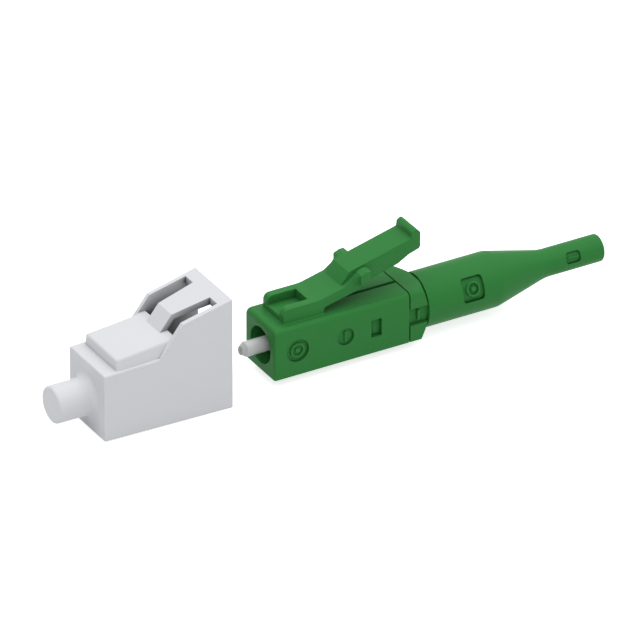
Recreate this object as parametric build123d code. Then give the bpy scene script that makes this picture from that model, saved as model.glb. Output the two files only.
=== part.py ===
from build123d import *
import math
import os

# Small-form fibre connector for one buffered fibre, with its dust cap taken off in line with it.
# Millimetres. The origin is on the ferrule's axis, in the plane of the housing's front face.
# +X runs to the rear, towards the boot, and +Z is up, towards the latch.

# Body section, shared by the front housing and the rear body
body_width = 4.52
body_height = 4.40
near_edge_round = 0.45
far_edge_round = 0.08

# Front housing
housing_length = 12.08
front_side_round = 0.20
front_bore_radius = 1.55
front_bore_depth = 2.90
front_bore_chamfer = 0.03
seat_wall = 0.50
seat_hole_radius = 1.21
key_across_flats = 2.50
key_clearance = 0.06
key_pocket_length = 2.80
spring_chamber_radius = 1.45
plug_length = 4.21
plug_wall = 0.51
slit_start = 6.50
slit_width = 0.33
slit_depth = 1.70

# Side windows and the hooks that snap into them
window_start = 8.67
window_end = 9.60
window_height = 1.53
hook_depth = 0.35
hook_clearance = 0.08
hook_nose_length = 0.30
hook_nose_drop = 0.12
hook_root_cover = 0.30

# Round pockets in the side wall
pocket_depth = 0.18
large_pocket_x = 2.08
large_pocket_radius = 0.98
small_pocket_x = 6.37
small_pocket_radius = 0.74

# Latch root on the housing's top
root_front = 1.18
root_half_width = 1.62
root_top = 3.50
root_nose_round = 0.50
thumb_slot_half_width = 0.94
thumb_slot_end = 3.70
thumb_slot_floor = 2.75
root_back = 4.75
root_corner_round = 0.36
root_foot_round = 0.15

# Latch arm
neck_bend_x = 4.40
neck_bend_round = 3.0
neck_thickness = 0.84
ramp_foot = (6.52, 4.00)
ramp_top_x = 7.22
arm_rise = 0.25
arm_line_height = 3.21
arm_half_width = 1.21
ramp_lead = 0.20
shoulder_foot_x = 6.62
shoulder_round = 0.80
shoulder_top = (7.80, 4.90)
shoulder_back_top = 5.10
lug_front = 7.79
lug_back = 8.70
lug_half_span = 2.16
lug_front_top = 4.94
lug_slope_end = 8.32
lug_top = 5.15
lug_bottom = 4.18
lug_round = 0.12
arm_underside_start_x = 7.81
arm_underside_end = (11.66, 4.54)
arm_step_top = (12.68, 5.11)
arm_end = 13.67
arm_end_bottom = 5.41
arm_tail_round = 0.32
hook_front_x = 12.87
hook_front_lean = 0.06
hook_rise = 0.50
hook_crest = (13.32, 7.15)
hook_back_z = 6.80
hook_round = 0.22
hook_foot_round = 0.12

# The neck's bending line, as a knuckle
hinge_x = 5.60
knuckle_radius = 0.37
knuckle_clearance = 0.03
knuckle_face_gap = 0.10

# Rear body
seam_gap = 0.12
seam_depth = 0.16
rear_block_end = 13.78
rear_cone_radius = 2.32
rear_cone_slope = 1.395
side_pocket_height = 1.50
side_pocket_depth = 0.33
plug_clearance = 0.03
spring_seat_depth = 2.20
spring_seat_radius = 1.25
rear_bore_radius = 0.75
collar_radius = 1.95
collar_length = 0.15
post_radius = 1.60
post_end = 18.60
barb_height = 0.07
barb_length = 0.60
barb_places = (15.30, 16.80)

# Boot
boot_radius = 2.285
boot_shoulder_x = 20.62
boot_shoulder_round = 2.0
boot_tail_x = 25.40
boot_tail_radius = 1.13
boot_tail_blend = 4.0
boot_end = 30.63
boot_end_round = 0.15
boot_bore_clearance = 0.10
boot_post_gap = 0.20
boot_bore_taper = 2.10
fibre_bore_radius = 0.53
boot_pocket_angle = 22.5
boot_large_pocket_x = 18.00
boot_large_pocket_length = 1.90
boot_large_pocket_width = 2.00
boot_large_pocket_depth = 0.22
boot_small_pocket_x = 27.75
boot_small_pocket_length = 1.30
boot_small_pocket_width = 0.94
boot_small_pocket_depth = 0.16
boot_pocket_corner = 0.28

# Ferrule, its holder, the guide tube and the spring
ferrule_radius = 0.6245
ferrule_tip = -1.85
ferrule_length = 6.50
ferrule_chamfer_length = 0.70
ferrule_tip_radius = 0.34
ferrule_face_angle = 8.0
fibre_hole_radius = 0.063
ferrule_tail_radius = 0.46
holder_flange_length = 1.60
holder_neck_radius = 0.80
holder_end = 6.60
holder_chamfer = 0.15
ferrule_fit = 0.01
tube_radius = 0.65
tube_bore_radius = 0.50
tube_overlap = 1.10
tube_end = 13.40
spring_wire_radius = 0.14
spring_wire_sides = 6
spring_coil_radius = 1.00
spring_turns = 5.0

# Dust cap, drawn where it lies when it is taken off
cap_back = -4.13
cap_front = -15.37
cap_back_half_width = 2.91
cap_front_half_width = 2.78
cap_back_bottom = -2.96
cap_front_bottom = -2.80
cap_back_top = 6.68
cap_knee = (-8.46, 5.66)
cap_plate_foot = (-10.47, 3.14)
cap_box_top_front = 2.96
cap_pad_front = -14.10
cap_pad_half_width = 2.40
cap_pad_top = 3.87
cap_pad_rise = 0.102
cap_pad_round = 0.12
cap_pad_foot_round = 0.45
cap_pad_sink = 0.30
cap_slot_front = -8.85
cap_slot_back = -5.22
cap_slot_lead = 1.40
cap_slot_half_width = 2.47
cap_tongue_front_half_width = 1.04
cap_tongue_back_half_width = 1.34
cap_roof_inside_front = -8.25
cap_roof_inside_back = 5.95
cap_roof_inside_rise = 0.17
cap_body_clearance = 0.06
cap_end_wall_clearance = 0.10
cap_travel = 14.00
cap_latch_clearance = 0.12
cap_latch_room_front = -13.05
cap_latch_room_half_width = 1.95
cap_pin_radius = 1.53
cap_pin_end = -18.57
cap_pin_root_round = 0.50
cap_pin_end_round = 0.22
cap_pin_bore_radius = 0.95
cap_pin_bore_end = -16.90
cap_edge_round = 0.05

# Lengths by which joined solids run into each other, and cuts run past a face
joint_overlap = 0.10
cut_overrun = 0.10
hair = 0.01

half_width = body_width / 2
half_height = body_height / 2
neck_rise = (ramp_foot[1] - root_top) / (ramp_foot[0] - neck_bend_x)
neck_half = neck_thickness / 2


def neck_top(x):
    """Height of the neck's straight upper face."""
    return root_top + neck_rise * (x - neck_bend_x)


def neck_bottom(x):
    """Height of the neck's lower face."""
    return neck_top(x) - neck_thickness


def arm_top(x):
    """Height of the arm's upper face."""
    return arm_line_height + arm_rise * x


hinge_z = neck_top(hinge_x) - neck_half


def block(x0, x1, y0, y1, z0, z1):
    """A box between two corners."""
    size = Box(x1 - x0, y1 - y0, z1 - z0)
    return Pos((x0 + x1) / 2, (y0 + y1) / 2, (z0 + z1) / 2) * size


def side_plate(points, half):
    """An outline in the XZ plane, as thick as twice half across the middle plane."""
    outline = make_face(Plane.XZ * Polyline(*points, close=True))
    return extrude(outline, amount=half, both=True)


def top_plate(points, z0, z1):
    """An outline in the XY plane, raised from z0 to z1."""
    outline = make_face(Polyline(*[(x, y, z0) for x, y in points], close=True))
    return extrude(outline, amount=z1 - z0, dir=(0, 0, 1))


def rod(x0, x1, radius):
    """A round bar along the ferrule's axis."""
    return Plane.YZ.offset(x0) * Cylinder(radius, x1 - x0, align=(Align.CENTER, Align.CENTER, Align.MIN))


def taper(x0, x1, r0, r1):
    """A round taper along the ferrule's axis."""
    return Plane.YZ.offset(x0) * Cone(r0, r1, x1 - x0, align=(Align.CENTER, Align.CENTER, Align.MIN))


def cross_bar(x, z, radius, half):
    """A round bar across the part, along Y."""
    return Pos(x, 0, z) * Rot(90, 0, 0) * Cylinder(radius, 2 * half)


def edges_near(solid, points, reach=0.02):
    """The edges whose middles lie at the given places."""
    found = []
    for point in points:
        middle = Vector(*point)
        near = [e for e in solid.edges() if (e.position_at(0.5) - middle).length < reach]
        found += near
    return ShapeList(found)


def circles_at(solid, x, radius):
    """The round edges about the ferrule's axis at a place along it."""
    rings = solid.edges().filter_by(GeomType.CIRCLE)
    return rings.filter_by(lambda e: abs(e.arc_center.X - x) < 0.01 and abs(e.radius - radius) < 0.01)


def body_section():
    """The outline that the front housing and the rear body share: one top corner is well rounded."""
    outline = Rectangle(body_width, body_height)
    near = outline.vertices().group_by(Axis.Y)[-1].sort_by(Axis.X)[0]
    outline = fillet(near, near_edge_round)
    rest = [v for v in outline.vertices() if abs(v.X) > half_width - hair and abs(v.Y) > half_height - hair]
    return fillet(rest, far_edge_round)


def housing_block():
    """The housing's outer block, softened round its front face and along its edges."""
    shell = block(0, housing_length, -half_width, half_width, -half_height, half_height)
    roof = shell.faces().sort_by(Axis.Z)[-1].edges()
    front_edge = roof.filter_by(Axis.Y).sort_by(Axis.X)[:1]
    near_edge = roof.filter_by(Axis.X).sort_by(Axis.Y)[:1]
    shell = fillet(near_edge + front_edge, near_edge_round)
    near_side = shell.faces().sort_by(Axis.X)[0].edges().filter_by(Axis.Z).sort_by(Axis.Y)[:1]
    shell = fillet(near_side, front_side_round)
    far_edge = [(housing_length / 2 + near_edge_round / 2, half_width, half_height)]
    floor_edges = shell.faces().sort_by(Axis.Z)[0].edges().filter_by(Axis.X)
    return fillet(edges_near(shell, far_edge, 0.2) + floor_edges, far_edge_round)


def thumb_slot():
    """The slot between the two prongs of the latch's root, open to the front."""
    return block(
        root_front - cut_overrun, thumb_slot_end, -thumb_slot_half_width, thumb_slot_half_width,
        thumb_slot_floor, root_top + cut_overrun,
    )


def latch_layer(points, half, rounds):
    """A plate of the latch with some corners of its outline rounded, given as (place, radius)."""
    plate = side_plate(points, half)
    for (x, z), radius in rounds:
        plate = fillet(edges_near(plate, [(x, 0, z)]), radius)
    return plate


def latch_root():
    """The root block with its prongs, up to the neck's bending line."""
    bottom = half_height - joint_overlap
    points = [
        (root_front, bottom),
        (root_front, root_top),
        (neck_bend_x, root_top),
        (hinge_x, neck_top(hinge_x)),
        (hinge_x, neck_bottom(hinge_x)),
        (root_back, neck_bottom(root_back)),
        (root_back, bottom),
    ]
    rounds = [
        ((root_front, root_top), root_nose_round),
        ((neck_bend_x, root_top), neck_bend_round),
        ((root_back, neck_bottom(root_back)), root_corner_round),
    ]
    layer = latch_layer(points, root_half_width, rounds)
    layer += cross_bar(hinge_x, hinge_z, knuckle_radius, root_half_width)
    return layer - thumb_slot()


def side_window(side):
    """One of the two windows through the housing's side walls."""
    outer = side * (half_width + cut_overrun)
    inner = side * (front_bore_radius / 2)
    return block(
        window_start, window_end, min(inner, outer), max(inner, outer),
        -window_height / 2, window_height / 2,
    )


def round_pocket(x, radius):
    """A shallow round pocket in the side wall that the photograph shows."""
    place = Plane(origin=(x, -half_width - cut_overrun, 0), x_dir=(1, 0, 0), z_dir=(0, 1, 0))
    return extrude(place * Circle(radius), amount=pocket_depth + cut_overrun)


key_start = front_bore_depth + seat_wall
plug_start = housing_length - plug_length
plug_bore_radius = half_width - plug_wall


def housing_cavity():
    """The stepped passage from the front bore to the rear, with the six-sided key pocket."""
    pocket = RegularPolygon(key_across_flats / 2 + key_clearance, 6, major_radius=False)
    key = extrude(Plane.YZ.offset(key_start) * pocket, amount=key_pocket_length)
    cavity = rod(-cut_overrun, front_bore_depth, front_bore_radius)
    cavity += rod(front_bore_depth - joint_overlap, key_start + joint_overlap, seat_hole_radius)
    cavity += key
    cavity += rod(key_start + key_pocket_length, plug_start, spring_chamber_radius)
    cavity += rod(plug_start, housing_length + cut_overrun, plug_bore_radius)
    mouth = front_bore_radius + front_bore_chamfer
    cavity += taper(-hair, front_bore_chamfer, mouth + hair, front_bore_radius)
    return cavity


def make_front_housing():
    """The moulded shell with the latch's root."""
    shell = housing_block()
    shell += latch_root()
    middle = (root_front + root_back) / 2
    foot = [(root_front, 0, half_height), (root_back, 0, half_height)]
    for side in (1, -1):
        foot.append((middle, side * root_half_width, half_height))
    shell = fillet(edges_near(shell, foot), root_foot_round)
    shell -= housing_cavity()
    shell -= block(
        slit_start, housing_length + cut_overrun, -slit_width / 2, slit_width / 2,
        half_height - slit_depth, half_height + cut_overrun,
    )
    shell -= side_window(1)
    shell -= side_window(-1)
    shell -= round_pocket(large_pocket_x, large_pocket_radius)
    shell -= round_pocket(small_pocket_x, small_pocket_radius)
    return shell


def lug(side):
    """A side lug of the latch, whose back catches behind an adapter's edge."""
    rise = arm_rise * (lug_back - lug_front)
    points = [
        (lug_front, lug_bottom),
        (lug_back, lug_bottom + rise),
        (lug_back, lug_top),
        (lug_slope_end, lug_top),
        (lug_front, lug_front_top),
    ]
    outline = make_face(Plane.XZ * Polyline(*points, close=True))
    bar = extrude(outline, amount=-side * lug_half_span)
    middle = side * lug_half_span / 2
    rims = [(lug_front, middle, lug_front_top), (lug_slope_end, middle, lug_top)]
    return fillet(edges_near(bar, rims), lug_round)


def neck_and_shoulder():
    """The wide layer from the bending line to the lugs."""
    start = hinge_x + knuckle_face_gap
    under = neck_bottom(arm_underside_start_x)
    slope = (arm_underside_end[1] - under) / (arm_underside_end[0] - arm_underside_start_x)
    points = [
        (start, neck_bottom(start)),
        (start, neck_top(start)),
        (shoulder_foot_x, neck_top(shoulder_foot_x)),
        shoulder_top,
        (lug_slope_end, shoulder_back_top),
        (lug_back, shoulder_back_top),
        (lug_back, under + slope * (lug_back - arm_underside_start_x)),
        (arm_underside_start_x, under),
    ]
    foot = (shoulder_foot_x, neck_top(shoulder_foot_x))
    layer = latch_layer(points, root_half_width, [(foot, shoulder_round)])
    gap = knuckle_radius + knuckle_clearance
    return layer - cross_bar(hinge_x, hinge_z, gap, root_half_width + cut_overrun)


def upper_arm():
    """The narrow arm with its ramp, its raised thumb end and its stepped underside."""
    start = ramp_foot[0] - ramp_lead
    hook_foot = (hook_front_x, arm_top(hook_front_x))
    hook_shoulder = (hook_front_x + hook_front_lean, arm_top(hook_front_x) + hook_rise)
    points = [
        (start, neck_bottom(start)),
        (start, neck_top(start)),
        ramp_foot,
        (ramp_top_x, arm_top(ramp_top_x)),
        hook_foot,
        hook_shoulder,
        hook_crest,
        (arm_end, hook_back_z),
        (arm_end, arm_end_bottom),
        arm_step_top,
        arm_underside_end,
        (arm_underside_start_x, neck_bottom(arm_underside_start_x)),
    ]
    rounds = [
        ((arm_end, arm_end_bottom), arm_tail_round),
        (hook_shoulder, hook_round),
        (hook_crest, hook_round),
        (hook_foot, hook_foot_round),
    ]
    return latch_layer(points, arm_half_width, rounds)


def make_latch_arm():
    """The latch from its bending line to the thumb end."""
    arm = neck_and_shoulder() + upper_arm()
    return arm + lug(1) + lug(-1)


def hook(side):
    """A snap hook on the rear body's plug, with a sloping front."""
    reach = half_width - hook_depth
    inner = rear_bore_radius + hook_root_cover
    points = [
        (window_start + hook_clearance, side * inner),
        (window_start + hook_clearance, side * (reach - hook_nose_drop)),
        (window_start + hook_clearance + hook_nose_length, side * reach),
        (window_end, side * reach),
        (window_end, side * inner),
    ]
    tall = window_height / 2 - hook_clearance
    return top_plate(points, -tall, tall)


def rear_block():
    """The block behind the seam, cut to a cone at its rear."""
    length = rear_block_end - housing_length
    bar = extrude(Plane.YZ.offset(housing_length) * body_section(), amount=length)
    seam = rod(housing_length - cut_overrun, housing_length + seam_gap, body_width)
    core = offset(Plane.YZ.offset(housing_length - cut_overrun) * body_section(), amount=-seam_depth)
    bar -= seam - extrude(core, amount=seam_gap + cut_overrun)
    wide = rear_cone_radius + rear_cone_slope * length
    bar &= taper(housing_length, rear_block_end, wide, rear_cone_radius)
    for side in (1, -1):
        inner = side * (half_width - side_pocket_depth)
        outer = side * (half_width + cut_overrun)
        bar -= block(
            housing_length - cut_overrun, rear_block_end + cut_overrun,
            min(inner, outer), max(inner, outer), -side_pocket_height / 2, side_pocket_height / 2,
        )
    return bar


def make_rear_body():
    """The block, its plug with hooks and spring seat, and the post that the boot goes over."""
    plug_radius = plug_bore_radius - plug_clearance
    body = rear_block()
    body += rod(plug_start, housing_length + joint_overlap, plug_radius)
    body += hook(1)
    body += hook(-1)
    collar_end = rear_block_end + collar_length
    body += rod(rear_block_end - joint_overlap, collar_end, collar_radius)
    body += rod(collar_end - joint_overlap, post_end, post_radius)
    for place in barb_places:
        body += taper(place, place + barb_length, post_radius + barb_height, post_radius)
    body -= rod(plug_start - cut_overrun, plug_start + spring_seat_depth, spring_seat_radius)
    body -= rod(plug_start, post_end + cut_overrun, rear_bore_radius)
    return body


def boot_recess(x, length, width, radius, depth):
    """A round-cornered recess in the boot's skin, of even depth, on the side the photograph shows."""
    turn = Rot(-boot_pocket_angle, 0, 0)
    place = Plane(origin=(x, -radius - 1, 0), x_dir=(1, 0, 0), z_dir=(0, 1, 0))
    corner = min(boot_pocket_corner, width / 3)
    bar = extrude(place * RectangleRounded(length, width, corner), amount=radius + 1)
    return turn * bar - rod(x - length, x + length, radius - depth)


def make_boot():
    """The bend relief: a sleeve, a taper and a slim tail, with two recesses."""
    front = rear_block_end + collar_length
    points = [
        (front, 0),
        (front, boot_radius),
        (boot_shoulder_x, boot_radius),
        (boot_tail_x, boot_tail_radius),
        (boot_end, boot_tail_radius),
        (boot_end, 0),
    ]
    outline = make_face(Plane.XZ * Polyline(*points, close=True))
    for (x, z), radius in [
        ((boot_shoulder_x, boot_radius), boot_shoulder_round),
        ((boot_tail_x, boot_tail_radius), boot_tail_blend),
        ((boot_end, boot_tail_radius), boot_end_round),
    ]:
        corner = [v for v in outline.vertices() if (Vector(v) - Vector(x, 0, z)).length < 0.01]
        outline = fillet(corner, radius)
    boot = revolve(outline, axis=Axis.X)
    post_bore = post_radius + boot_bore_clearance
    bore_end = post_end + boot_post_gap
    boot -= rod(front - cut_overrun, bore_end, post_bore)
    boot -= taper(bore_end, bore_end + boot_bore_taper, post_bore, fibre_bore_radius)
    boot -= rod(bore_end + boot_bore_taper, boot_end + cut_overrun, fibre_bore_radius)
    boot -= boot_recess(
        boot_large_pocket_x, boot_large_pocket_length, boot_large_pocket_width,
        boot_radius, boot_large_pocket_depth,
    )
    boot -= boot_recess(
        boot_small_pocket_x, boot_small_pocket_length, boot_small_pocket_width,
        boot_tail_radius, boot_small_pocket_depth,
    )
    return boot


def make_ferrule():
    """The ceramic ferrule: chamfered, angled tip, fine hole for the fibre, and a tail in the holder."""
    shoulder = ferrule_tip + ferrule_chamfer_length
    back = ferrule_tip + ferrule_length
    body = taper(ferrule_tip, shoulder, ferrule_tip_radius, ferrule_radius)
    body += rod(shoulder, key_start, ferrule_radius)
    body += rod(key_start - joint_overlap, back, ferrule_tail_radius)
    lean = math.tan(math.radians(ferrule_face_angle))
    face = Plane(origin=(ferrule_tip + lean * ferrule_tip_radius, 0, 0), z_dir=(-1, 0, lean))
    body = split(body, bisect_by=face, keep=Keep.BOTTOM)
    return body - rod(ferrule_tip - cut_overrun, back + cut_overrun, fibre_hole_radius)


def make_ferrule_holder():
    """The six-sided flange and its neck, bored for the ferrule's tail and for the guide tube."""
    flange_end = key_start + holder_flange_length
    hexagon = RegularPolygon(key_across_flats / 2, 6, major_radius=False)
    body = extrude(Plane.YZ.offset(key_start) * hexagon, amount=holder_flange_length)
    corner = key_across_flats / math.sqrt(3)
    body &= taper(key_start, key_start + 4 * corner, corner - holder_chamfer, 5 * corner - holder_chamfer)
    body += rod(flange_end - joint_overlap, holder_end, holder_neck_radius)
    back = ferrule_tip + ferrule_length
    body -= rod(key_start - cut_overrun, back, ferrule_tail_radius + ferrule_fit)
    body -= rod(back - hair, holder_end - tube_overlap, tube_bore_radius)
    body -= rod(holder_end - tube_overlap, holder_end + cut_overrun, tube_radius + ferrule_fit)
    return body


def make_guide_tube():
    """The thin tube from the holder's neck through the spring and the rear body."""
    start = holder_end - tube_overlap
    bore = rod(start - cut_overrun, tube_end + cut_overrun, tube_bore_radius)
    return rod(start, tube_end, tube_radius) - bore


def make_spring():
    """The coil spring between the flange and its seat in the rear body's plug."""
    start = key_start + holder_flange_length + spring_wire_radius
    stop = plug_start + spring_seat_depth - spring_wire_radius
    height = stop - start
    path = Helix(pitch=height / spring_turns, height=height, radius=spring_coil_radius)
    path = Plane.YZ.offset(start) * path
    section = Plane(origin=path @ 0, z_dir=path % 0) * RegularPolygon(spring_wire_radius, spring_wire_sides)
    return sweep(section, path=path, is_frenet=True)


def cap_pad_foot(plan):
    """The hollow sweep round the pad's foot, which runs out at the box's sides."""
    rise = (cap_plate_foot[1] - cap_box_top_front) / (cap_plate_foot[0] - cap_front)
    front = cap_pad_front - cap_pad_foot_round
    level = cap_box_top_front + rise * (front - cap_front)
    length = cap_slot_front - front
    side = cap_pad_half_width + cap_pad_foot_round
    bottom = level - cap_pad_sink
    sweep_top = level + cap_pad_foot_round
    skirt = block(front, cap_slot_front, -side, side, bottom, sweep_top)
    skirt -= cross_bar(front, sweep_top, cap_pad_foot_round, side + cut_overrun)
    for y in (-side, side):
        hollow = Plane.YZ * Cylinder(
            cap_pad_foot_round, 2 * length, align=(Align.CENTER, Align.CENTER, Align.CENTER),
        )
        skirt -= Pos(front, y, sweep_top) * Rot(0, -math.degrees(math.atan(rise)), 0) * hollow
    return skirt & plan


def cap_outer():
    """The cap's outer form: a drafted box that rises behind to wrap the latch, with softened edges."""
    points = [
        (cap_front, cap_front_bottom),
        (cap_front, cap_box_top_front),
        cap_plate_foot,
        cap_knee,
        (cap_back, cap_back_top),
        (cap_back, cap_back_bottom),
    ]
    form = side_plate(points, cap_back_half_width + cut_overrun)
    plan = [
        (cap_front, -cap_front_half_width),
        (cap_back, -cap_back_half_width),
        (cap_back, cap_back_half_width),
        (cap_front, cap_front_half_width),
    ]
    form &= top_plate(plan, cap_back_bottom - cut_overrun, cap_back_top + cut_overrun)
    form = fillet(form.edges().filter_by(lambda e: e.center().X < cap_back - hair), cap_edge_round)
    return form + cap_pad_foot(top_plate(plan, cap_box_top_front - cap_pad_sink, cap_pad_top))


def pad_top(x):
    """Height of the raised pad on the cap."""
    return cap_pad_top + cap_pad_rise * (x - cap_pad_front)


def cap_pad():
    """The raised pad in front of the tongue."""
    bottom = cap_box_top_front - cap_pad_sink
    points = [
        (cap_pad_front, bottom),
        (cap_pad_front, pad_top(cap_pad_front)),
        (cap_slot_front, pad_top(cap_slot_front)),
        (cap_slot_front, bottom),
    ]
    pad = side_plate(points, cap_pad_half_width)
    middle = (cap_pad_front + cap_slot_front) / 2
    rims = [(cap_pad_front, 0, pad_top(cap_pad_front))]
    for side in (1, -1):
        rims.append((middle, side * cap_pad_half_width, pad_top(middle)))
    return fillet(edges_near(pad, rims), cap_pad_round)


def roof_inside(x):
    """Height of the roof's underside behind the knee."""
    return cap_roof_inside_back + cap_roof_inside_rise * (x - cap_back)


def cap_room():
    """The hollow that takes the housing and the latch."""
    front = -cap_travel - cap_end_wall_clearance
    mouth = cap_back + cut_overrun
    side = half_width + cap_body_clearance
    low = half_height + cap_body_clearance
    body_room = block(front, mouth, -side, side, -low, low)
    ceiling = root_top + cap_latch_clearance
    ceiling_back = ceiling + cap_pad_rise * (cap_slot_front - cap_latch_room_front)
    latch_room = side_plate(
        [
            (cap_latch_room_front, 0),
            (cap_latch_room_front, ceiling),
            (cap_slot_front, ceiling_back),
            (cap_slot_front, 0),
        ],
        cap_latch_room_half_width,
    )
    tall_room = side_plate(
        [
            (cap_slot_front - hair, 0),
            (cap_slot_front - hair, pad_top(cap_slot_front)),
            (cap_roof_inside_front, roof_inside(cap_roof_inside_front)),
            (mouth, roof_inside(mouth)),
            (mouth, 0),
        ],
        cap_slot_half_width,
    )
    return body_room + latch_room + tall_room


def cap_slots():
    """The two slots beside the tongue, cut down through the roof to the pad's height."""
    front = cap_plate_foot[0] - cap_slot_lead
    slots = []
    for side in (1, -1):
        points = [
            (cap_slot_back, side * cap_tongue_back_half_width),
            (cap_slot_back, side * cap_slot_half_width),
            (front, side * cap_slot_half_width),
            (front, side * cap_tongue_front_half_width),
            (cap_knee[0], side * cap_tongue_front_half_width),
        ]
        cut = top_plate(points, half_height, cap_back_top + cut_overrun)
        below_pad = side_plate(
            [
                (front - cut_overrun, half_height - cut_overrun),
                (front - cut_overrun, pad_top(front - cut_overrun)),
                (cap_slot_front, pad_top(cap_slot_front)),
                (cap_slot_front, half_height - cut_overrun),
            ],
            cap_slot_half_width + cut_overrun,
        )
        slots.append(cut - below_pad)
    return slots


def make_dust_cap():
    """The moulded cap that covers the connector's front."""
    cap = cap_outer()
    for cut in cap_slots():
        cap -= cut
    cap += cap_pad()
    cap -= cap_room()
    pin = rod(cap_pin_end, cap_front + joint_overlap, cap_pin_radius)
    tip = pin.edges().sort_by(Axis.X)[0]
    pin = fillet(tip, cap_pin_end_round)
    cap += pin
    cap = fillet(circles_at(cap, cap_front, cap_pin_radius), cap_pin_root_round)
    return cap - rod(cap_pin_bore_end, -cap_travel, cap_pin_bore_radius)


nodes = {
    "front_housing": make_front_housing(),
    "latch_arm": make_latch_arm(),
    "rear_body": make_rear_body(),
    "boot": make_boot(),
    "ferrule": make_ferrule(),
    "ferrule_holder": make_ferrule_holder(),
    "guide_tube": make_guide_tube(),
    "spring": make_spring(),
    "dust_cap": make_dust_cap(),
}

os.makedirs("parts", exist_ok=True)
for name, solid in nodes.items():
    export_step(solid, f"parts/{name}.step")
    print(name, round(solid.volume, 3), solid.bounding_box())
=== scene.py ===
import math

import bmesh
import bpy
from mathutils import Matrix, Vector


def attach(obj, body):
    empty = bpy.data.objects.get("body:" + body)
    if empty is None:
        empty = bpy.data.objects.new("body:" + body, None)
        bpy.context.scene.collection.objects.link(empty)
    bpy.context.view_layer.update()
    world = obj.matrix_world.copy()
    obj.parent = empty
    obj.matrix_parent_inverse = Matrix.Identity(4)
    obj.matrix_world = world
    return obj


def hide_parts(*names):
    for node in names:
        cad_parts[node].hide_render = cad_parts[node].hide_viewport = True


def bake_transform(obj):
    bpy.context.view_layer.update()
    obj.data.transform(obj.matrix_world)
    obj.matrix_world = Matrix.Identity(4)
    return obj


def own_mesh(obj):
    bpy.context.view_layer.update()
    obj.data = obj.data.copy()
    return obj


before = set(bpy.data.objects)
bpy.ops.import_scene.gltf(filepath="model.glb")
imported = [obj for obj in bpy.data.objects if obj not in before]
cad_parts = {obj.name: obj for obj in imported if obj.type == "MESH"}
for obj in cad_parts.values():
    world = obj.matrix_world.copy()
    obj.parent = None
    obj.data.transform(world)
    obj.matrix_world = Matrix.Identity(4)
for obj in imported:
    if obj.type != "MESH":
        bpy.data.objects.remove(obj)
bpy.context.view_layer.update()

# The mesh code works in millimetres, and every mesh is brought to metres when it is done
MM = 0.001

# Distances within which mesh points count as one
JOIN_REACH = 0.0005
HAIR = 0.0001
FINE_HAIR = 0.00001

# How deep one solid sinks into the next that it is joined to
SINK = 0.02

# How far the cutting solids reach past what they cut
CUT_BESIDE = 0.3
CUT_ABOVE = 0.5
CUT_BEYOND = 1.0

# Edges turned by more than this are rounded
SHARP_ANGLE = 30.0

# Body section and places shared with the solids
HALF_WIDTH = 2.26
HALF_HEIGHT = 2.20
FLOOR_HEIGHT = -2.96

# Latch root
ROOT_FRONT = 1.18
ROOT_BACK = 4.75
ROOT_TOP = 3.50
ROOT_HALF_WIDTH = 1.62
ROOT_NOSE_ROUND = 0.50
ROOT_CORNER_ROUND = 0.36
ROOT_FOOT_ROUND = 0.15
ROOT_FOOT_SHARE = 0.9
ROOT_SINK = 0.05
THUMB_SLOT_HALF_WIDTH = 0.94
THUMB_SLOT_END = 3.70
THUMB_SLOT_FLOOR = 2.75

# Latch neck and arm
NECK_BEND_X = 4.40
NECK_BEND_ROUND = 3.0
NECK_THICKNESS = 0.84
RAMP_FOOT = (6.52, 4.00)
RAMP_TOP_X = 7.22
ARM_RISE = 0.25
ARM_LINE_HEIGHT = 3.21
ARM_HALF_WIDTH = 1.21
SHOULDER_FOOT_X = 6.62
SHOULDER_TOP = (7.80, 4.90)
SHOULDER_ROUND = 0.80
SHOULDER_BACK_TOP = 5.10
LUG_FRONT = 7.79
LUG_BACK = 8.70
LUG_HALF_SPAN = 2.16
LUG_FRONT_TOP = 4.94
LUG_SLOPE_END = 8.32
LUG_TOP = 5.15
LUG_BOTTOM = 4.18
LUG_ROUND = 0.12
UNDERSIDE_START_X = 7.81
UNDERSIDE_END = (11.66, 4.54)
STEP_TOP = (12.68, 5.11)
ARM_END = 13.67
ARM_END_BOTTOM = 5.41
TAIL_ROUND = 0.32
HOOK_FRONT_X = 12.87
HOOK_RISE = 0.50
HOOK_CREST = (13.32, 7.15)
HOOK_BACK_Z = 6.80
HOOK_ROUND = 0.22
HOOK_FOOT_ROUND = 0.12
HOOK_FRONT_LEAN = 0.06
RAMP_LEAD = 0.20
WEB_INSET = 0.2
WEB_OVERLAP = 0.1
LATCH_EDGE_ROUND = 0.06
NECK_RISE = (RAMP_FOOT[1] - ROOT_TOP) / (RAMP_FOOT[0] - NECK_BEND_X)
BEND_START = (5.00, 0.0, 3.30)
BEND_END = (6.20, 0.0, 3.45)
BEND_SLICES = 16

# Ferrule tip
TIP_FACE_BACK = -1.74
TIP_FACE_RADIUS = 0.39
CHAMFER_BACK = -1.15
SHORT_CHAMFER_BACK = -1.41
TIP_ANGLE = 15.0

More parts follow.
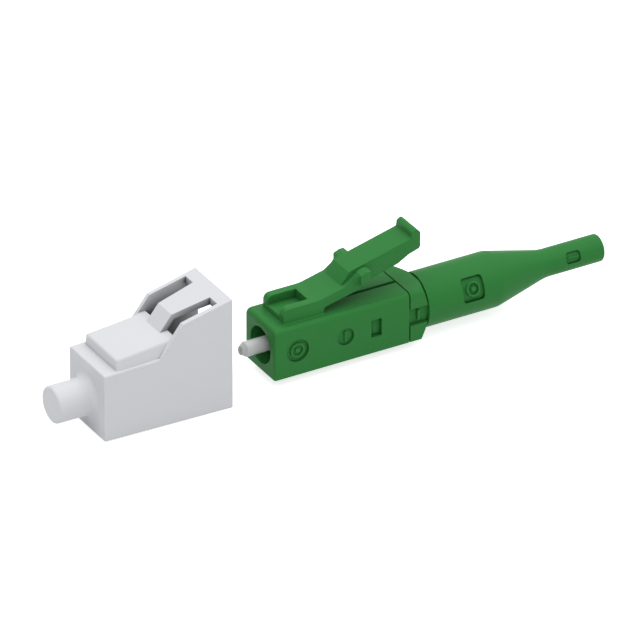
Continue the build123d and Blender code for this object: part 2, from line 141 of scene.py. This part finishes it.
# Cap box, the slope behind it and the pad on it
CAP_FRONT = -15.37
CAP_BOX_TOP = 2.96
CAP_HALF_WIDTH = 2.78
CAP_WIDENING = 0.0116
SLOPE_FOOT = (-10.47, 3.14)
SLOPE_LEAN = 0.798
PAD_FRONT = -14.09
PAD_HALF_WIDTH = 2.39
PAD_TOP = 3.87
PAD_RISE = 0.102
PAD_ROUND = 0.18
PAD_SKIN = 0.035
PAD_DRAFT = 0.20
PAD_FRONT_LEAN = 0.05
PAD_FOOT_SINK = 0.2
PAD_SKIN_BACK = -9.40
LATCH_ROOM_FRONT = -13.05
LATCH_ROOM_HALF_WIDTH = 1.95
LATCH_ROOM_CEILING = 3.62
LEDGE_ROUND = 0.16
FRONT_ROUND = 0.14
CAP_FLAT_ANGLE = 0.1

# Raised marks in the pockets
RING_OUTER = 0.62
RING_INNER = 0.46
STUD_RADIUS = 0.20
BAR_WIDTH = 0.17
SIDE_BAR_HEIGHT = 0.88
REAR_BAR_HEIGHT = 0.90
TAIL_BAR_HEIGHT = 0.13
TAIL_BAR_LENGTH = 0.95
MARK_ROUND = 0.025
SIDE_MARK_RISE = 0.16
REAR_MARK_RISE = 0.25
BOOT_MARK_RISE = 0.20
TAIL_MARK_RISE = 0.13
ROUND_POCKET_X = 2.08
BAR_POCKET_X = 6.37
REAR_POCKET_X = 12.98
SIDE_POCKET_DEPTH = 0.18
REAR_POCKET_DEPTH = 0.33
BOOT_POCKET = (18.0, -2.065, 0)
TAIL_POCKET = (27.75, -0.97, 0)
BOOT_TURN = -22.5

# Scales of the plastics' patterns, in turns per metre, and how far their roughness varies
FLOW_SCALE = 220.0
PATCH_SCALE = 900.0
GRAIN_SCALE = 9000.0
SMOOTHER = 0.05
ROUGHER = 0.06

# Rings of the turned metal, in turns per metre
TURNING_SCALE = 4000.0
TURNING_DEPTH = 0.000002
TURNING_ROUGHER = 0.15

# Floor and light, in metres and watts
FLOOR_HALF = 1.5
FLOOR_GAP = 0.00001
FLOOR_TONE = 0.80
FLOOR_LIFT = 0.74
SURROUND_LIGHT = 0.34
LAMP_PLACE = (0.03, -0.05, 0.50)
LAMP_AIM = (0.006, 0, 0)
LAMP_SIZE = 1.20
LAMP_POWER = 5.4

# View: its angles, how far its middle lies to the right and up, its distance and its lens
VIEW_TURN = math.radians(30)
VIEW_RISE = math.radians(30)
VIEW_CENTRE = (4.635, 1.925)
VIEW_DISTANCE = 931.7
LENS = 675.0
SENSOR = 36.0


def neck_top(x):
    """Height of the neck's straight upper face."""
    return ROOT_TOP + NECK_RISE * (x - NECK_BEND_X)


def neck_bottom(x):
    """Height of the neck's lower face."""
    return neck_top(x) - NECK_THICKNESS


def arm_top(x):
    """Height of the arm's upper face."""
    return ARM_LINE_HEIGHT + ARM_RISE * x


def show(name, data):
    """A new object in the scene for a mesh, lamp or camera."""
    obj = bpy.data.objects.new(name, data)
    bpy.context.scene.collection.objects.link(obj)
    return obj


def round_corners(points, radii, steps=8):
    """A closed outline with an arc at each corner that has a radius."""
    outline = []
    count = len(points)
    for i, point in enumerate(points):
        radius = radii.get(i, 0)
        corner = Vector(point)
        if radius == 0:
            outline.append(corner)
            continue
        back = (Vector(points[i - 1]) - corner).normalized()
        ahead = (Vector(points[(i + 1) % count]) - corner).normalized()
        half_angle = back.angle(ahead) / 2
        reach = radius / math.tan(half_angle)
        centre = corner + (back + ahead).normalized() * radius / math.sin(half_angle)
        start = corner + back * reach - centre
        sweep = start.angle_signed(corner + ahead * reach - centre)
        for k in range(steps + 1):
            turned = start.copy()
            turned.rotate(Matrix.Rotation(-sweep * k / steps, 2))
            outline.append(centre + turned)
    return outline


def quarter_turn(steps=8):
    """The sines and cosines of even steps of a quarter turn."""
    turns = [math.radians(90 * k / steps) for k in range(steps + 1)]
    return [(math.sin(turn), math.cos(turn)) for turn in turns]


def loft(name, first, last, triangles=False):
    """A solid between two rings of as many points."""
    bm = bmesh.new()
    rings = [[bm.verts.new(point) for point in ring] for ring in (first, last)]
    bm.faces.new(rings[0])
    bm.faces.new(rings[1])
    count = len(first)
    for i in range(count):
        j = (i + 1) % count
        bm.faces.new((rings[0][i], rings[0][j], rings[1][j], rings[1][i]))
    bmesh.ops.recalc_face_normals(bm, faces=bm.faces)
    if triangles:
        bmesh.ops.triangulate(bm, faces=bm.faces)
    mesh = bpy.data.meshes.new(name)
    bm.to_mesh(mesh)
    bm.free()
    return show(name, mesh)


def prism(name, outline, low, high):
    """An XZ outline raised along Y from low to high."""
    rings = [[(p[0], level, p[1]) for p in outline] for level in (low, high)]
    return loft(name, rings[0], rings[1])


def upright_prism(name, outline, low, high):
    """An XY outline raised along Z from low to high."""
    rings = [[(p[0], p[1], level) for p in outline] for level in (low, high)]
    return loft(name, rings[0], rings[1])


def bar(name, low, high):
    """A box between two corners."""
    outline = [(low[0], low[2]), (high[0], low[2]), (high[0], high[2]), (low[0], high[2])]
    return prism(name, outline, low[1], high[1])


def settle(obj):
    """Works out the object's modifiers into its mesh."""
    graph = bpy.context.evaluated_depsgraph_get()
    mesh = bpy.data.meshes.new_from_object(obj.evaluated_get(graph))
    spare = obj.data
    obj.modifiers.clear()
    obj.data = mesh
    bpy.data.meshes.remove(spare)
    return obj


def combine(obj, tools, operation):
    """Adds other solids to an object, or cuts them away, and removes them."""
    for tool in tools:
        step = obj.modifiers.new("combine", "BOOLEAN")
        step.operation = operation
        step.solver = "EXACT"
        step.object = tool
        settle(obj)
        bpy.data.objects.remove(tool)
    return obj


def soften(obj, width, segments=3):
    """Rounds the object's sharp edges."""
    step = obj.modifiers.new("soften", "BEVEL")
    step.width = width
    step.segments = segments
    step.limit_method = "ANGLE"
    step.angle_limit = math.radians(SHARP_ANGLE)
    step.use_clamp_overlap = True
    step.miter_outer = "MITER_ARC"
    return settle(obj)


def clean_mesh(obj, flat_angle=0.5):
    """Joins doubled points and dissolves the edges inside flat faces."""
    bm = bmesh.new()
    bm.from_mesh(obj.data)
    bmesh.ops.remove_doubles(bm, verts=bm.verts, dist=JOIN_REACH)
    bmesh.ops.dissolve_limit(
        bm, angle_limit=math.radians(flat_angle), verts=bm.verts, edges=bm.edges,
    )
    bmesh.ops.recalc_face_normals(bm, faces=bm.faces)
    bm.to_mesh(obj.data)
    bm.free()


def smooth_by_angle(obj, angle=35.0):
    """Smooth shading, but for edges sharper than the angle."""
    for face in obj.data.polygons:
        face.use_smooth = True
    bm = bmesh.new()
    bm.from_mesh(obj.data)
    for edge in bm.edges:
        edge.smooth = len(edge.link_faces) == 2 and edge.calc_face_angle(0) < math.radians(angle)
    bm.to_mesh(obj.data)
    bm.free()
    return obj


def to_metres(obj):
    """Scales the object's mesh from millimetres."""
    obj.data.transform(Matrix.Scale(MM, 4))
    return obj


def latch_root():
    """The root block and the neck, in one wide plate with the thumb slot."""
    seat = HALF_HEIGHT - ROOT_SINK
    shoulder_slope = (UNDERSIDE_END[1] - neck_bottom(UNDERSIDE_START_X)) / (
        UNDERSIDE_END[0] - UNDERSIDE_START_X
    )
    lug_under = neck_bottom(UNDERSIDE_START_X) + shoulder_slope * (LUG_BACK - UNDERSIDE_START_X)
    points = [
        (ROOT_FRONT, seat),
        (ROOT_FRONT, ROOT_TOP),
        (NECK_BEND_X, ROOT_TOP),
        (SHOULDER_FOOT_X, neck_top(SHOULDER_FOOT_X)),
        SHOULDER_TOP,
        (LUG_SLOPE_END, SHOULDER_BACK_TOP),
        (LUG_BACK, SHOULDER_BACK_TOP),
        (LUG_BACK, lug_under),
        (UNDERSIDE_START_X, neck_bottom(UNDERSIDE_START_X)),
        (ROOT_BACK, neck_bottom(ROOT_BACK)),
        (ROOT_BACK, seat),
    ]
    radii = {1: ROOT_NOSE_ROUND, 2: NECK_BEND_ROUND, 3: SHOULDER_ROUND, 9: ROOT_CORNER_ROUND}
    plate = prism("latch", round_corners(points, radii), -ROOT_HALF_WIDTH, ROOT_HALF_WIDTH)
    slot = bar(
        "thumb_slot",
        (ROOT_FRONT - CUT_BEYOND, -THUMB_SLOT_HALF_WIDTH, THUMB_SLOT_FLOOR),
        (THUMB_SLOT_END, THUMB_SLOT_HALF_WIDTH, ROOT_TOP + CUT_BEYOND),
    )
    return combine(plate, [slot], "DIFFERENCE")


def latch_arm():
    """The narrow arm with its ramp, thumb end and stepped underside."""
    hook_foot = arm_top(HOOK_FRONT_X)
    foot_x = RAMP_FOOT[0] - RAMP_LEAD
    points = [
        (foot_x, neck_bottom(foot_x) + SINK),
        (foot_x, neck_top(foot_x) - SINK),
        RAMP_FOOT,
        (RAMP_TOP_X, arm_top(RAMP_TOP_X)),
        (HOOK_FRONT_X, hook_foot),
        (HOOK_FRONT_X + HOOK_FRONT_LEAN, hook_foot + HOOK_RISE),
        HOOK_CREST,
        (ARM_END, HOOK_BACK_Z),
        (ARM_END, ARM_END_BOTTOM),
        STEP_TOP,
        UNDERSIDE_END,
        (UNDERSIDE_START_X, neck_bottom(UNDERSIDE_START_X) + SINK),
    ]
    radii = {4: HOOK_FOOT_ROUND, 5: HOOK_ROUND, 6: HOOK_ROUND, 8: TAIL_ROUND}
    return prism("arm", round_corners(points, radii), -ARM_HALF_WIDTH, ARM_HALF_WIDTH)


def latch_lug(side):
    """One side lug."""
    rise = ARM_RISE * (LUG_BACK - LUG_FRONT)
    points = [
        (LUG_FRONT, LUG_BOTTOM),
        (LUG_BACK, LUG_BOTTOM + rise),
        (LUG_BACK, LUG_TOP),
        (LUG_SLOPE_END, LUG_TOP),
        (LUG_FRONT, LUG_FRONT_TOP),
    ]
    ends = sorted((side * ARM_HALF_WIDTH / 2, side * LUG_HALF_SPAN))
    return prism("lug", round_corners(points, {3: LUG_ROUND, 4: LUG_ROUND}), ends[0], ends[1])


def lug_web(side):
    """The hollow web that runs from the neck's side out to the lug's front."""
    round_width = LUG_HALF_SPAN - ROOT_HALF_WIDTH - 2 * SINK
    inside = side * (ROOT_HALF_WIDTH - WEB_INSET)
    outside = side * (ROOT_HALF_WIDTH + round_width)
    back = LUG_FRONT + WEB_OVERLAP
    outline = [(back, outside), (back, inside), (LUG_FRONT - round_width, inside)]
    for sine, cosine in quarter_turn():
        outline.append((
            LUG_FRONT - round_width * (1 - sine),
            outside - side * round_width * cosine,
        ))
    web = upright_prism("web", outline, LUG_BOTTOM, LUG_FRONT_TOP)
    foot_z = neck_top(SHOULDER_FOOT_X)
    rise = (SHOULDER_TOP[1] - foot_z) / (SHOULDER_TOP[0] - SHOULDER_FOOT_X)
    for vert in web.data.vertices:
        if vert.co.z > LUG_BOTTOM + SINK:
            vert.co.z = foot_z + rise * (vert.co.x - SHOULDER_FOOT_X) - SINK
    return web


def make_latch():
    """The whole latch in one skin, from its root on the housing to the thumb end."""
    added = [latch_arm()]
    for side in (1, -1):
        added.append(latch_lug(side))
        added.append(lug_web(side))
    latch = combine(latch_root(), added, "UNION")
    clean_mesh(latch)
    soften(latch, LATCH_EDGE_ROUND)
    bm = bmesh.new()
    bm.from_mesh(latch.data)
    for k in range(1, BEND_SLICES):
        share = k / BEND_SLICES
        x = BEND_START[0] + (BEND_END[0] - BEND_START[0]) * share
        bmesh.ops.bisect_plane(
            bm, geom=bm.verts[:] + bm.edges[:] + bm.faces[:],
            plane_co=(x, 0, 0), plane_no=(1, 0, 0), dist=HAIR,
        )
    bm.to_mesh(latch.data)
    bm.free()
    return smooth_by_angle(to_metres(latch))


def copy_node(node, name):
    """A loose copy of a CAD node's mesh."""
    return show(name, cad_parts[node].data.copy())


def make_housing_shell():
    """The housing up to the rounded foot of the latch's root: a copy of the solid, closed above."""
    shell = copy_node("front_housing", "housing_shell")
    shell_top = HALF_HEIGHT + ROOT_FOOT_SHARE * ROOT_FOOT_ROUND
    bm = bmesh.new()
    bm.from_mesh(shell.data)
    bmesh.ops.remove_doubles(bm, verts=bm.verts, dist=HAIR * MM)
    found = bmesh.ops.bisect_plane(
        bm, geom=bm.verts[:] + bm.edges[:] + bm.faces[:],
        plane_co=(0, 0, shell_top * MM), plane_no=(0, 0, 1),
        clear_outer=True, dist=FINE_HAIR * MM,
    )
    rim = [e for e in found["geom_cut"] if isinstance(e, bmesh.types.BMEdge)]
    bmesh.ops.holes_fill(bm, edges=rim, sides=0)
    bm.to_mesh(shell.data)
    bm.free()
    return smooth_by_angle(shell)


def ring_outline(radius, count=40):
    """Points round a circle."""
    turns = [2 * math.pi * k / count for k in range(count)]
    return [(radius * math.cos(t), radius * math.sin(t)) for t in turns]


def raised_ring(name, outer, inner, depth):
    """A flat ring about the Y axis, standing towards -Y from y = 0."""
    ring = prism(name, ring_outline(outer), -depth, 0)
    hole = prism("hole", ring_outline(inner), -2 * depth, depth)
    return combine(ring, [hole], "DIFFERENCE")


def raised_stud(name, radius, depth):
    """A round stud that stands towards -Y from y = 0."""
    return prism(name, ring_outline(radius), -depth, 0)


def raised_bar(name, width, height, depth):
    """A bar that stands towards -Y from y = 0."""
    return bar(name, (-width / 2, -depth, -height / 2), (width / 2, 0, height / 2))


def set_mark(obj, place, material, turn=0.0):
    """Softens a raised mark and moves it to its pocket, turned about the ferrule's axis."""
    clean_mesh(obj)
    soften(obj, MARK_ROUND, 2)
    obj.data.transform(Matrix.Translation(place))
    obj.data.transform(Matrix.Rotation(math.radians(turn), 4, "X"))
    smooth_by_angle(to_metres(obj))
    dress(obj, material)
    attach(obj, "connector")


def box_top(x):
    """Height of the cap box's upper face."""
    rise = (SLOPE_FOOT[1] - CAP_BOX_TOP) / (SLOPE_FOOT[0] - CAP_FRONT)
    return CAP_BOX_TOP + rise * (x - CAP_FRONT)


def ledge_cutter(side):
    """What is cut from the cap beside its pad: a ledge whose outer edge is rounded."""
    rings = []
    for x, lean in ((CAP_FRONT - CUT_ABOVE, 0.0), (SLOPE_FOOT[0], SLOPE_LEAN)):
        top = box_top(x)
        wide = CAP_HALF_WIDTH + CAP_WIDENING * (x - CAP_FRONT)
        section = [(PAD_HALF_WIDTH, top + CUT_ABOVE), (PAD_HALF_WIDTH, top)]
        for sine, cosine in quarter_turn():
            section.append((wide - LEDGE_ROUND * (1 - sine), top - LEDGE_ROUND * (1 - cosine)))
        section.append((wide + CUT_BESIDE, top - LEDGE_ROUND))
        section.append((wide + CUT_BESIDE, top + CUT_ABOVE))
        rings.append([(x + lean * (z - top), side * y, z) for y, z in section])
    return loft("ledge_cutter", rings[0], rings[1], triangles=True)


def front_cutter():
    """What is cut from the cap in front of its pad: a ledge whose front edge is rounded."""
    ledge = box_top(PAD_FRONT)
    outline = [
        (CAP_FRONT - CUT_BESIDE, CAP_BOX_TOP - FRONT_ROUND),
        (CAP_FRONT - CUT_BESIDE, ledge + CUT_ABOVE),
        (PAD_FRONT, ledge + CUT_ABOVE),
        (PAD_FRONT, ledge),
    ]
    for sine, cosine in quarter_turn():
        outline.append((
            CAP_FRONT + FRONT_ROUND * (1 - sine),
            CAP_BOX_TOP - FRONT_ROUND * (1 - cosine),
        ))
    side = CAP_HALF_WIDTH + CUT_BEYOND
    return prism("front_cutter", outline, -side, side)


def pad_skin():
    """A slightly fuller pad with drafted walls and rounder edges, hollow where the latch goes."""
    wide = PAD_HALF_WIDTH + PAD_SKIN
    foot = CAP_BOX_TOP - PAD_FOOT_SINK
    rings = []
    for x, lean, lift in (
        (PAD_FRONT - PAD_SKIN, PAD_FRONT_LEAN, PAD_SKIN),
        (PAD_SKIN_BACK, 0.0, -SINK),
    ):
        top = PAD_TOP + PAD_RISE * (x - PAD_FRONT) + lift
        rings.append([
            (x - lean, -wide - PAD_DRAFT, foot),
            (x - lean, wide + PAD_DRAFT, foot),
            (x, wide, top),
            (x, -wide, top),
        ])
    skin = soften(loft("pad_skin", rings[0], rings[1]), PAD_ROUND, 4)
    front = LATCH_ROOM_FRONT - SINK
    back = PAD_SKIN_BACK + CUT_BEYOND
    ceiling = LATCH_ROOM_CEILING + SINK
    outline = [
        (front, 0),
        (front, ceiling),
        (back, ceiling + PAD_RISE * (back - front)),
        (back, 0),
    ]
    side = LATCH_ROOM_HALF_WIDTH + SINK
    return combine(skin, [prism("latch_room", outline, -side, side)], "DIFFERENCE")


def make_cap():
    """The cap with a ledge round its pad, a softer pad and rounder edges on its box."""
    cap = copy_node("dust_cap", "cap_skin")
    cap.data.transform(Matrix.Scale(1 / MM, 4))
    clean_mesh(cap, CAP_FLAT_ANGLE)
    combine(cap, [front_cutter(), ledge_cutter(1), ledge_cutter(-1)], "DIFFERENCE")
    combine(cap, [pad_skin()], "UNION")
    clean_mesh(cap, CAP_FLAT_ANGLE)
    smooth_by_angle(to_metres(cap))
    step = cap.modifiers.new("normals", "WEIGHTED_NORMAL")
    step.keep_sharp = True
    return settle(cap)


def make_ferrule():
    """The ferrule with the photograph's shorter chamfer."""
    ferrule = copy_node("ferrule", "ferrule_skin")
    share = (SHORT_CHAMFER_BACK - TIP_FACE_BACK) / (CHAMFER_BACK - TIP_FACE_BACK)
    for vert in ferrule.data.vertices:
        x = vert.co.x / MM
        outside = math.hypot(vert.co.y, vert.co.z) > TIP_FACE_RADIUS * MM
        if outside and TIP_FACE_BACK < x < CHAMFER_BACK + SINK:
            vert.co.x = (TIP_FACE_BACK + (x - TIP_FACE_BACK) * share) * MM
    return smooth_by_angle(ferrule, TIP_ANGLE)


# reach, hollow and shade set the painted shade: how far the occlusion looks, which occlusion range
# darkens, and the darkest share of the colour kept
def plastic(
    name, colour, deep, roughness, grain_depth,
    reach=0.0012, hollow=(0.0, 1.0), shade=0.35, gloss=0.15,
):
    """Moulded plastic: slow shifts of tone, painted shade that darkens its hollows and creases,
    fine grain and a satin gloss.
    """
    material = bpy.data.materials.new(name)
    material.use_nodes = True
    nodes = material.node_tree.nodes
    links = material.node_tree.links
    shader = nodes["Principled BSDF"]
    place = nodes.new("ShaderNodeTexCoord")

    def noise(scale, detail, rough):
        node = nodes.new("ShaderNodeTexNoise")
        node.inputs["Scale"].default_value = scale
        node.inputs["Detail"].default_value = detail
        node.inputs["Roughness"].default_value = rough
        links.new(place.outputs["Object"], node.inputs["Vector"])
        return node

    flow = noise(FLOW_SCALE, detail=3.0, rough=0.55)
    blend = nodes.new("ShaderNodeMix")
    blend.data_type = "RGBA"
    blend.inputs["A"].default_value = (*deep, 1)
    blend.inputs["B"].default_value = (*colour, 1)
    links.new(flow.outputs["Fac"], blend.inputs["Factor"])

    # Painted shade: the base colour is scaled down where the object's own ambient occlusion finds
    # hollows, slots and seams
    corners = nodes.new("ShaderNodeAmbientOcclusion")
    corners.inputs["Distance"].default_value = reach
    corners.only_local = True
    depth = nodes.new("ShaderNodeMapRange")
    depth.inputs["From Min"].default_value = hollow[0]
    depth.inputs["From Max"].default_value = hollow[1]
    depth.inputs["To Min"].default_value = shade
    depth.inputs["To Max"].default_value = 1.0
    links.new(corners.outputs["AO"], depth.inputs["Value"])
    tone = nodes.new("ShaderNodeVectorMath")
    tone.operation = "SCALE"
    links.new(blend.outputs["Result"], tone.inputs[0])
    links.new(depth.outputs["Result"], tone.inputs["Scale"])
    links.new(tone.outputs["Vector"], shader.inputs["Base Color"])

    patches = noise(PATCH_SCALE, detail=2.0, rough=0.5)
    spread = nodes.new("ShaderNodeMapRange")
    spread.inputs["To Min"].default_value = roughness - SMOOTHER
    spread.inputs["To Max"].default_value = roughness + ROUGHER
    links.new(patches.outputs["Fac"], spread.inputs["Value"])
    links.new(spread.outputs["Result"], shader.inputs["Roughness"])

    grain = noise(GRAIN_SCALE, detail=4.0, rough=0.6)
    bump = nodes.new("ShaderNodeBump")
    bump.inputs["Strength"].default_value = 0.35
    bump.inputs["Distance"].default_value = grain_depth
    links.new(grain.outputs["Fac"], bump.inputs["Height"])
    links.new(bump.outputs["Normal"], shader.inputs["Normal"])
    shader.inputs["IOR"].default_value = 1.48
    shader.inputs["Specular IOR Level"].default_value = gloss
    return material


def metal(name, colour, roughness):
    """Turned metal with fine rings about the ferrule's axis."""
    material = bpy.data.materials.new(name)
    material.use_nodes = True
    nodes = material.node_tree.nodes
    links = material.node_tree.links
    shader = nodes["Principled BSDF"]
    shader.inputs["Base Color"].default_value = (*colour, 1)
    shader.inputs["Metallic"].default_value = 1.0
    place = nodes.new("ShaderNodeTexCoord")
    rings = nodes.new("ShaderNodeTexWave")
    rings.wave_type = "BANDS"
    rings.bands_direction = "X"
    rings.inputs["Scale"].default_value = TURNING_SCALE
    rings.inputs["Distortion"].default_value = 3.0
    links.new(place.outputs["Object"], rings.inputs["Vector"])
    spread = nodes.new("ShaderNodeMapRange")
    spread.inputs["To Min"].default_value = roughness
    spread.inputs["To Max"].default_value = roughness + TURNING_ROUGHER
    links.new(rings.outputs["Fac"], spread.inputs["Value"])
    links.new(spread.outputs["Result"], shader.inputs["Roughness"])
    bump = nodes.new("ShaderNodeBump")
    bump.inputs["Strength"].default_value = 0.2
    bump.inputs["Distance"].default_value = TURNING_DEPTH
    links.new(rings.outputs["Fac"], bump.inputs["Height"])
    links.new(bump.outputs["Normal"], shader.inputs["Normal"])
    return material


def dress(obj, material):
    """Gives the object one material."""
    obj.data.materials.clear()
    obj.data.materials.append(material)


green = plastic(
    "green_housing", (0.032, 0.208, 0.045), (0.030, 0.195, 0.042),
    roughness=0.45, grain_depth=0.000003, gloss=0.1,
)
boot_green = plastic(
    "green_boot", (0.030, 0.202, 0.043), (0.028, 0.189, 0.040),
    roughness=0.45, grain_depth=0.000004, gloss=0.1,
)
# The cap gets the strongest painted shade: a wide occlusion reach darkens its inside and slots
# almost to black
cap_grey = plastic(
    "cap_plastic", (0.705, 0.715, 0.740), (0.69, 0.70, 0.725),
    roughness=0.45, grain_depth=0.000003, reach=0.0100, hollow=(0.18, 0.62), shade=0.05,
)
ceramic = plastic(
    "ceramic", (0.60, 0.61, 0.61), (0.57, 0.58, 0.58),
    roughness=0.25, grain_depth=0.000001, gloss=0.5,
)
tube = plastic(
    "tube_plastic", (0.75, 0.74, 0.70), (0.70, 0.69, 0.65),
    roughness=0.35, grain_depth=0.000002,
)
steel = metal("metal", (0.60, 0.59, 0.57), roughness=0.25)

latch = make_latch()
dress(latch, green)
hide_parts("latch_arm")
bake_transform(latch)

shell = make_housing_shell()
dress(shell, green)
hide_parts("front_housing")
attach(shell, "connector")

round_pocket = (ROUND_POCKET_X, -HALF_WIDTH + SIDE_POCKET_DEPTH, 0)
bar_pocket = (BAR_POCKET_X, -HALF_WIDTH + SIDE_POCKET_DEPTH, 0)
rear_pocket = (REAR_POCKET_X, -HALF_WIDTH + REAR_POCKET_DEPTH, 0)
for mark, place in (
    (raised_ring("pocket_ring", RING_OUTER, RING_INNER, SIDE_MARK_RISE), round_pocket),
    (raised_stud("pocket_stud", STUD_RADIUS, SIDE_MARK_RISE), round_pocket),
    (raised_bar("pocket_bar", BAR_WIDTH, SIDE_BAR_HEIGHT, SIDE_MARK_RISE), bar_pocket),
    (raised_bar("rear_pocket_bar", BAR_WIDTH, REAR_BAR_HEIGHT, REAR_MARK_RISE), rear_pocket),
):
    set_mark(mark, place, green)
for mark, place in (
    (raised_ring("boot_ring", RING_OUTER, RING_INNER, BOOT_MARK_RISE), BOOT_POCKET),
    (raised_stud("boot_stud", STUD_RADIUS, BOOT_MARK_RISE), BOOT_POCKET),
    (raised_bar("boot_tail_bar", TAIL_BAR_LENGTH, TAIL_BAR_HEIGHT, TAIL_MARK_RISE), TAIL_POCKET),
):
    set_mark(mark, place, boot_green, BOOT_TURN)

coil = copy_node("spring", "coil_spring")
dress(coil, steel)
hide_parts("spring")
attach(coil, "connector")
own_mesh(coil)

cap = make_cap()
dress(cap, cap_grey)
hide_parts("dust_cap")
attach(cap, "cap")

ferrule = make_ferrule()
dress(ferrule, ceramic)
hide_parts("ferrule")
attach(ferrule, "ferrule_group")

for node, material in (
    ("rear_body", green),
    ("boot", boot_green),
    ("ferrule_holder", steel),
    ("guide_tube", tube),
):
    dress(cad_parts[node], material)


def plain_view(nodes, links):
    """A value of 1 for what the camera sees, straight or in a reflection, and 0 for other light."""
    rays = nodes.new("ShaderNodeLightPath")
    either = nodes.new("ShaderNodeMath")
    either.operation = "MAXIMUM"
    links.new(rays.outputs["Is Camera Ray"], either.inputs[0])
    links.new(rays.outputs["Is Glossy Ray"], either.inputs[1])
    return either.outputs["Value"]


def make_floor():
    """A plain pale floor that the camera sees as white, with the object's soft shadow."""
    height = FLOOR_HEIGHT * MM - FLOOR_GAP
    mesh = bpy.data.meshes.new("floor")
    signs = ((-1, -1), (1, -1), (1, 1), (-1, 1))
    corners = [(FLOOR_HALF * x, FLOOR_HALF * y, height) for x, y in signs]
    mesh.from_pydata(corners, [], [(0, 1, 2, 3)])
    floor = show("floor", mesh)
    material = bpy.data.materials.new("floor")
    material.use_nodes = True
    nodes = material.node_tree.nodes
    links = material.node_tree.links
    shader = nodes["Principled BSDF"]
    shader.inputs["Base Color"].default_value = (FLOOR_TONE, FLOOR_TONE, FLOOR_TONE, 1)
    shader.inputs["Roughness"].default_value = 0.9
    shader.inputs["Specular IOR Level"].default_value = 0.0
    shader.inputs["Emission Color"].default_value = (1, 1, 1, 1)
    lift = nodes.new("ShaderNodeMath")
    lift.operation = "MULTIPLY"
    lift.inputs[1].default_value = FLOOR_LIFT
    links.new(plain_view(nodes, links), lift.inputs[0])
    links.new(lift.outputs["Value"], shader.inputs["Emission Strength"])
    dress(floor, material)


def make_world():
    """An even pale surround: white to the camera, softer as light."""
    world = bpy.data.worlds.new("studio")
    world.use_nodes = True
    nodes = world.node_tree.nodes
    links = world.node_tree.links
    surround = nodes["Background"]
    surround.inputs["Color"].default_value = (1, 1, 1, 1)
    surround.inputs["Strength"].default_value = SURROUND_LIGHT
    seen = nodes.new("ShaderNodeBackground")
    seen.inputs["Color"].default_value = (1, 1, 1, 1)
    seen.inputs["Strength"].default_value = 1.0
    choose = nodes.new("ShaderNodeMixShader")
    links.new(plain_view(nodes, links), choose.inputs["Fac"])
    links.new(surround.outputs["Background"], choose.inputs[1])
    links.new(seen.outputs["Background"], choose.inputs[2])
    links.new(choose.outputs["Shader"], nodes["World Output"].inputs["Surface"])
    bpy.context.scene.world = world


def make_lamp():
    """A wide soft lamp above the plug."""
    data = bpy.data.lights.new("top_light", "AREA")
    data.size = LAMP_SIZE
    data.energy = LAMP_POWER
    lamp = show("top_light", data)
    lamp.location = LAMP_PLACE
    ray = Vector(LAMP_AIM) - Vector(LAMP_PLACE)
    lamp.rotation_euler = ray.to_track_quat("-Z", "Y").to_euler()


def make_camera():
    """The photograph's view, to the left of the plug's side and above it, from far off."""
    side = Vector((math.sin(VIEW_TURN), math.cos(VIEW_TURN), 0.0))
    upward = Vector((0.0, 0.0, 1.0))
    right = side.cross(upward)
    ahead = side * math.cos(VIEW_RISE) - upward * math.sin(VIEW_RISE)
    up = right.cross(ahead)
    data = bpy.data.cameras.new("camera")
    data.sensor_width = SENSOR
    data.lens = LENS
    data.clip_start = 0.05
    data.clip_end = 20.0
    camera = show("camera", data)
    place = right * VIEW_CENTRE[0] + up * VIEW_CENTRE[1] - ahead * VIEW_DISTANCE
    turn = Matrix((right, up, -ahead)).transposed()
    camera.matrix_world = Matrix.Translation(place * MM) @ turn.to_4x4()
    bpy.context.scene.camera = camera


make_floor()
make_world()
make_lamp()
make_camera()
bpy.context.scene.view_settings.view_transform = "Standard"
